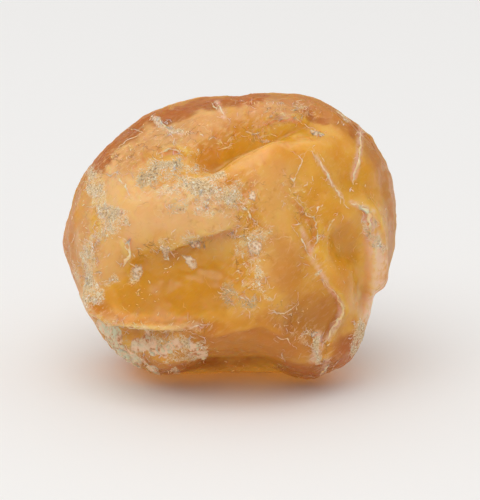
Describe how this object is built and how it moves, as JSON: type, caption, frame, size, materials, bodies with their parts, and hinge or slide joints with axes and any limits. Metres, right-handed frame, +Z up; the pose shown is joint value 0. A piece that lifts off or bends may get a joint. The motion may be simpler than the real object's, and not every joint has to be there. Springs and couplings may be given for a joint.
{
  "type": "raw amber piece",
  "caption": "Rounded, water-worn lump of raw honey-coloured amber, with folds, scooped hollows, veins and pale weathered crust, resting on a small worn flat.",
  "frame": {"origin": "middle of the underside: centre of the bounding box in X and Y, on the resting flat in Z", "axes": "+X to the right along the longest extent, -Y towards the viewer of the broad face, +Z up from the resting flat"},
  "size_m": [0.0378, 0.0306, 0.0328],
  "materials": {
    "amber": "water-worn and glossy, see-through where it is clear, honey to orange",
    "milky_amber": "cloudy honey amber sealed in the clear amber, as veils, healed cracks and bubbles",
    "crust": "matt, granular weathered rind, cream to greyish green"
  },
  "bodies": {
    "root": {"amber": "amber"}
  },
  "joints": []
}
